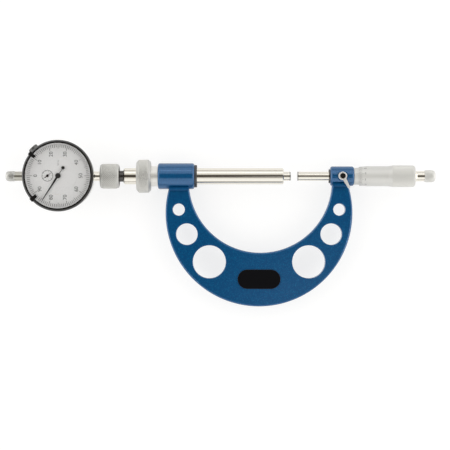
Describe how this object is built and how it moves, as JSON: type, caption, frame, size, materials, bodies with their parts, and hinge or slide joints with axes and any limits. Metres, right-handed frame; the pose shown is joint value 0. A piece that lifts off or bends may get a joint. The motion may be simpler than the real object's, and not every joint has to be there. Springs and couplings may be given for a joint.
{
  "type": "indicating micrometer",
  "caption": "Indicating micrometer: a C-shaped bow frame with a micrometer head on one side and a sprung anvil that moves a dial indicator on the other.",
  "frame": {"origin": "middle of the anvil's measuring face", "axes": "+X along the measuring line from the anvil to the spindle, +Y away from the bow, +Z the side that the dial faces; the part is modelled lying on its back"},
  "size_m": [0.3519, 0.1357, 0.0292],
  "materials": {
    "blue_enamel": "blue stoving enamel with a fine hammered texture",
    "black_plate": "smooth black plate",
    "pale_steel": "fine turned steel",
    "satin_steel": "satin nickel with knurling",
    "satin_chrome": "satin chrome",
    "polished_steel": "ground and polished steel",
    "carbide": "lapped hard metal",
    "spring_steel": "bright spring wire",
    "black_steel": "blackened steel",
    "dark_steel": "darkened steel",
    "black_bezel": "glossy black paint",
    "crystal": "clear, flat",
    "dial_white": "matt white dial print ground",
    "pointer_black": "matt black",
    "brass": "turned brass"
  },
  "bodies": {
    "frame": {"frame": "blue_enamel", "name_plate": "black_plate", "guide_bush": "pale_steel", "barrel": "polished_steel", "sleeve": "satin_chrome", "adjusting_nut": "satin_steel"},
    "clamp_nut": {"clamp_nut": "satin_steel"},
    "tube": {"anvil_tube": "polished_steel", "mouth_bush": "satin_steel", "spring_seat": "brass", "stem_collet": "black_steel"},
    "anvil": {"anvil_rod": "polished_steel", "anvil_tip": "carbide", "anvil_spring": "spring_steel"},
    "chuck_nut": {"chuck_nut": "satin_steel"},
    "indicator": {"indicator_case": "satin_chrome", "back_cover": "satin_chrome", "back_screws": "dark_steel", "indicator_stem": "polished_steel", "cap_bush": "polished_steel", "dust_cap": "satin_steel", "dial_middle": "dial_white", "front_plate": "brass", "rear_plate": "brass"},
    "plunger": {"plunger": "polished_steel", "contact_point": "carbide", "plunger_spring": "spring_steel"},
    "gear": {"gear_arbor": "brass", "counter_pointer": "pointer_black"},
    "hand": {"centre_arbor": "brass", "pointer": "pointer_black"},
    "bezel": {"bezel": "black_bezel", "crystal": "crystal", "white_rim": "dial_white", "scale_ring": "dial_white"},
    "upper_marker": {"upper_marker": "black_bezel"},
    "lower_marker": {"lower_marker": "black_bezel"},
    "clamp_screw": {"bezel_clamp_screw": "dark_steel"},
    "spindle": {"spindle": "polished_steel", "spindle_tip": "carbide"},
    "thimble": {"thimble": "satin_chrome", "ratchet_body": "polished_steel"},
    "ratchet": {"ratchet_knob": "satin_steel"},
    "lever": {"lock_lever": "polished_steel", "lock_screw": "dark_steel"}
  },
  "joints": [
    {"name": "clamp_nut_turn", "type": "hinge", "parent": "frame", "child": "clamp_nut", "pos_m": [-0.12, 0, 0], "axis": [1, 0, 0], "range_deg": [0, 180]},
    {"name": "tube_slide", "type": "slide", "parent": "frame", "child": "tube", "axis": [1, 0, 0], "range_m": [-0.07, 0.005]},
    {"name": "anvil_push", "type": "slide", "parent": "tube", "child": "anvil", "axis": [1, 0, 0], "range_m": [-0.005, 0], "stiffness_N_per_m": 500, "springref_m": 0.004, "deforming": ["anvil_spring"]},
    {"name": "chuck_nut_turn", "type": "hinge", "parent": "tube", "child": "chuck_nut", "pos_m": [-0.148, 0, 0], "axis": [1, 0, 0], "range_deg": [0, 180]},
    {"name": "indicator_swivel", "type": "hinge", "parent": "tube", "child": "indicator", "pos_m": [-0.15, 0, 0], "axis": [1, 0, 0], "continuous": true},
    {"name": "plunger_slide", "type": "slide", "parent": "indicator", "child": "plunger", "axis": [1, 0, 0], "range_m": [-0.0051, 0.0001], "deforming": ["plunger_spring"]},
    {"name": "gear_turn", "type": "hinge", "parent": "indicator", "child": "gear", "pos_m": [-0.1981, 0, 0], "axis": [0, 0, 1], "range_deg": [-1, 181]},
    {"name": "pointer_turn", "type": "hinge", "parent": "indicator", "child": "hand", "pos_m": [-0.1894, 0, 0], "axis": [0, 0, 1], "range_deg": [-1805, 5]},
    {"name": "bezel_turn", "type": "hinge", "parent": "indicator", "child": "bezel", "pos_m": [-0.1894, 0, 0.0034], "axis": [0, 0, 1], "continuous": true},
    {"name": "upper_marker_turn", "type": "hinge", "parent": "bezel", "child": "upper_marker", "pos_m": [-0.1894, 0, 0.0034], "axis": [0, 0, 1], "range_deg": [-130, 38]},
    {"name": "lower_marker_turn", "type": "hinge", "parent": "bezel", "child": "lower_marker", "pos_m": [-0.1894, 0, 0.0034], "axis": [0, 0, 1], "range_deg": [-38, 130]},
    {"name": "clamp_screw_turn", "type": "hinge", "parent": "indicator", "child": "clamp_screw", "pos_m": [-0.1894, 0, 0.0034], "axis": [-0.682, 0.7314, 0], "range_deg": [0, 180]},
    {"name": "spindle_slide", "type": "slide", "parent": "frame", "child": "spindle", "axis": [1, 0, 0], "range_m": [0, 0.025]},
    {"name": "thimble_turn", "type": "hinge", "parent": "spindle", "child": "thimble", "pos_m": [0.08, 0, 0], "axis": [1, 0, 0], "range_deg": [-1, 18001]},
    {"name": "ratchet_turn", "type": "hinge", "parent": "thimble", "child": "ratchet", "pos_m": [0.114, 0, 0], "axis": [1, 0, 0], "continuous": true},
    {"name": "lock_turn", "type": "hinge", "parent": "frame", "child": "lever", "pos_m": [0.04205, 0, 0.0074], "axis": [0, 0, 1], "range_deg": [0, 70]}
  ],
  "couplings": [
    {"joint": "plunger_slide", "follows": "anvil_push", "ratio": 1},
    {"joint": "gear_turn", "follows": "anvil_push", "rad_per_m": -628.32},
    {"joint": "pointer_turn", "follows": "anvil_push", "rad_per_m": 6283.2},
    {"joint": "thimble_turn", "follows": "spindle_slide", "rad_per_m": 12566}
  ]
}
